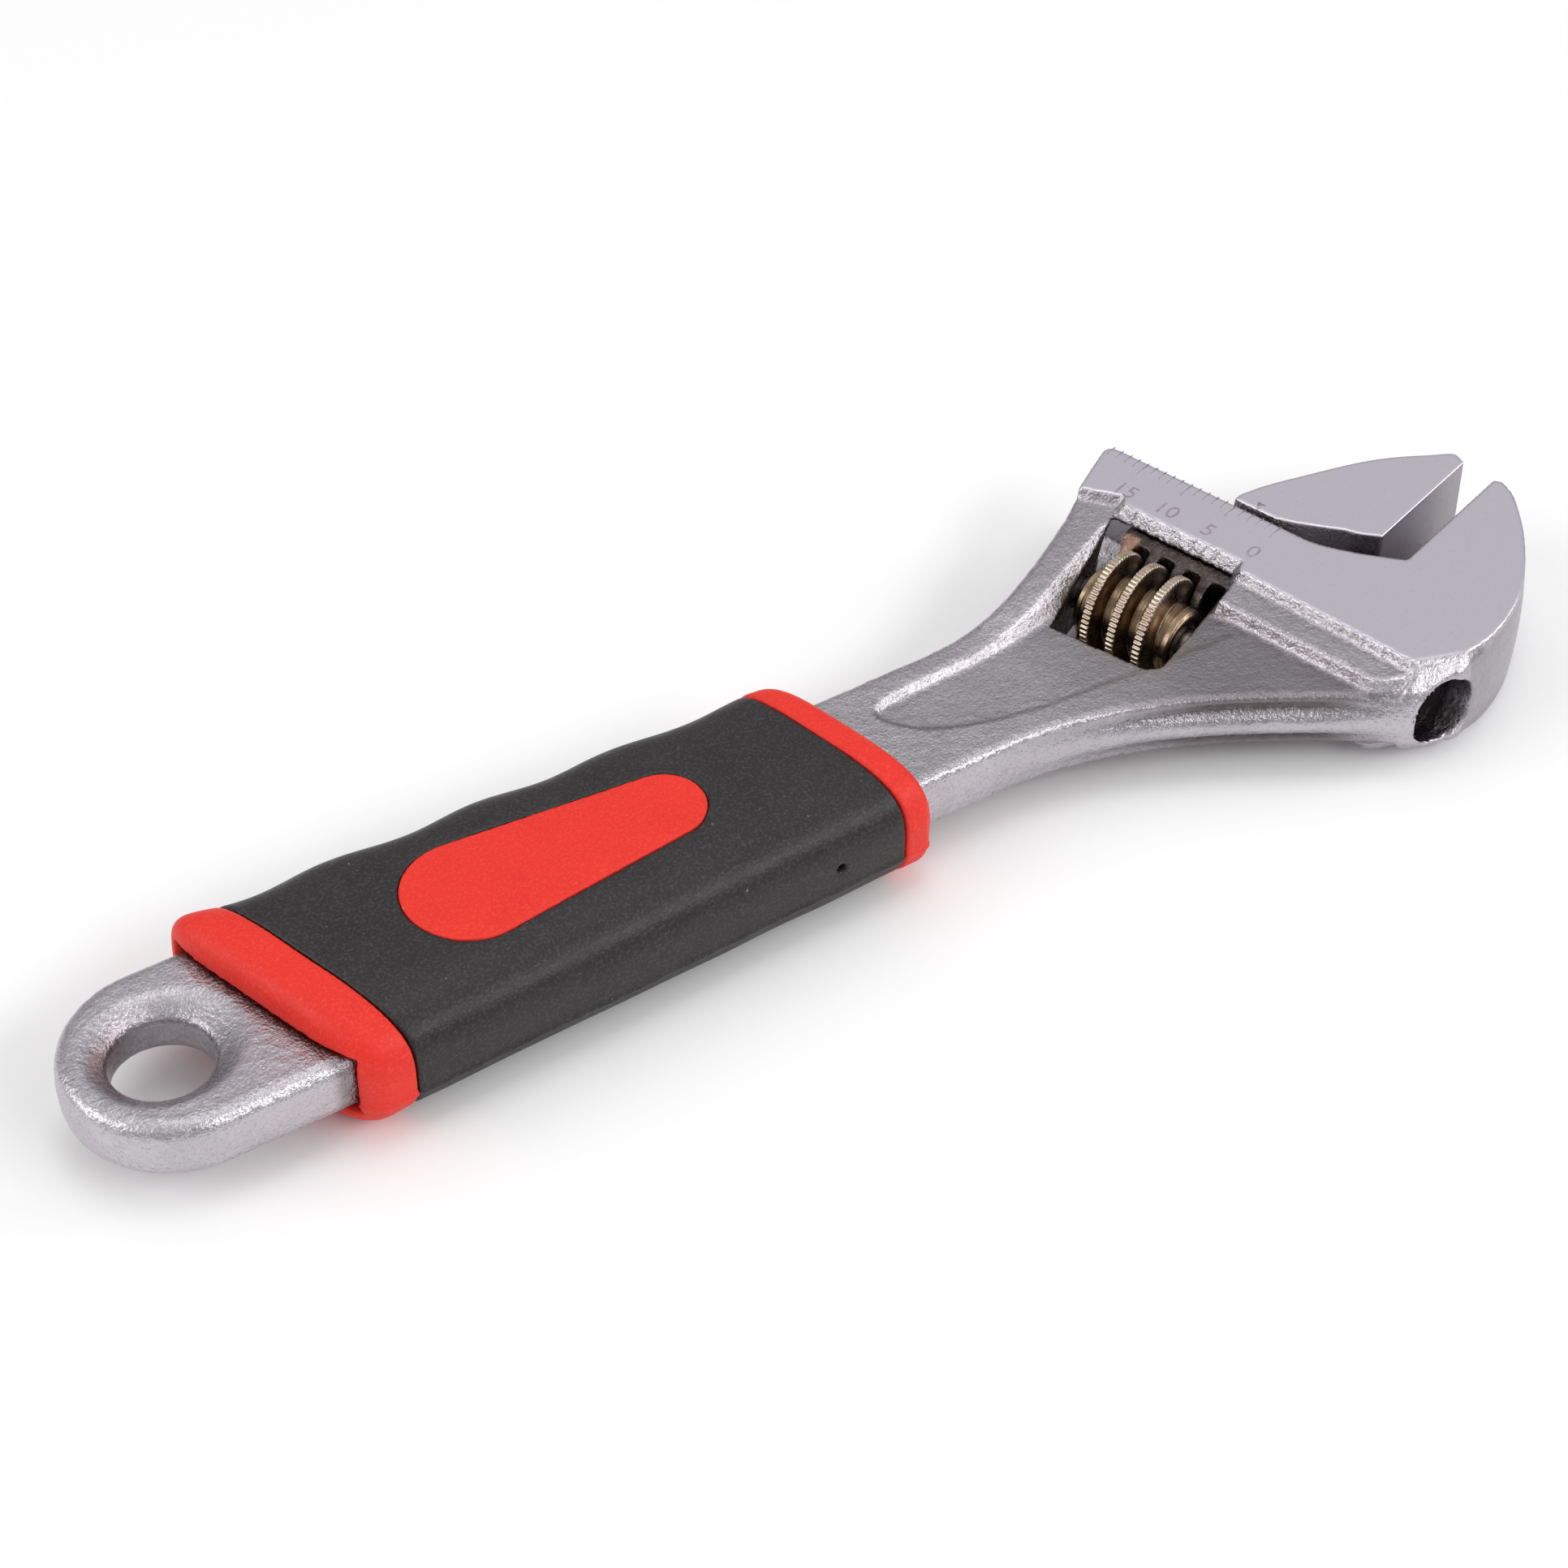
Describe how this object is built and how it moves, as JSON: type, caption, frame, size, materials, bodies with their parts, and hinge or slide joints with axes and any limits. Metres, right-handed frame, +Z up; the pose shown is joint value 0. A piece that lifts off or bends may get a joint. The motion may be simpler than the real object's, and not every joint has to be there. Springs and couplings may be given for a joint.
{
  "type": "adjustable wrench",
  "caption": "Slim adjustable wrench: forged chromed body, movable jaw on a worm screw, black and red moulded soft grip, hanging hole in the tail.",
  "frame": {"origin": "middle of the wrench's outline, on the plane it lies on: the grip's underside", "axes": "+X along the handle from the tail towards the head, +Y across the handle towards the side the movable jaw opens to, +Z up through the face with the scale"},
  "size_m": [0.1466, 0.0426, 0.0118],
  "materials": {
    "forged_chrome": "satin chrome plate over a forged, lightly grained surface; ground flats smoother",
    "worm_metal": "machined thread with an antique bronze toned plating and bright crests",
    "spring_steel": "plain drawn steel",
    "black_rubber": "satin moulded elastomer",
    "red_rubber": "matte moulded elastomer"
  },
  "bodies": {
    "frame": {"body": "forged_chrome", "worm_pin": "spring_steel", "worm_spring": "spring_steel", "rear_collar": "red_rubber", "front_collar": "red_rubber", "grip_sleeve": "black_rubber", "badge_top": "red_rubber", "badge_bottom": "red_rubber"},
    "movable_jaw": {"movable_jaw": "forged_chrome"},
    "worm": {"worm": "worm_metal"}
  },
  "joints": [
    {"name": "jaw_slide", "type": "slide", "parent": "frame", "child": "movable_jaw", "axis": [-0.314, 0.9494, 0], "range_m": [-0.0032, 0.0157]},
    {"name": "worm_spin", "type": "hinge", "parent": "frame", "child": "worm", "pos_m": [0.03578, 0.00364, 0.0059], "axis": [0.314, -0.9494, 0], "range_deg": [-410, 1980]}
  ],
  "couplings": [
    {"joint": "worm_spin", "follows": "jaw_slide", "rad_per_m": 2189.3}
  ]
}
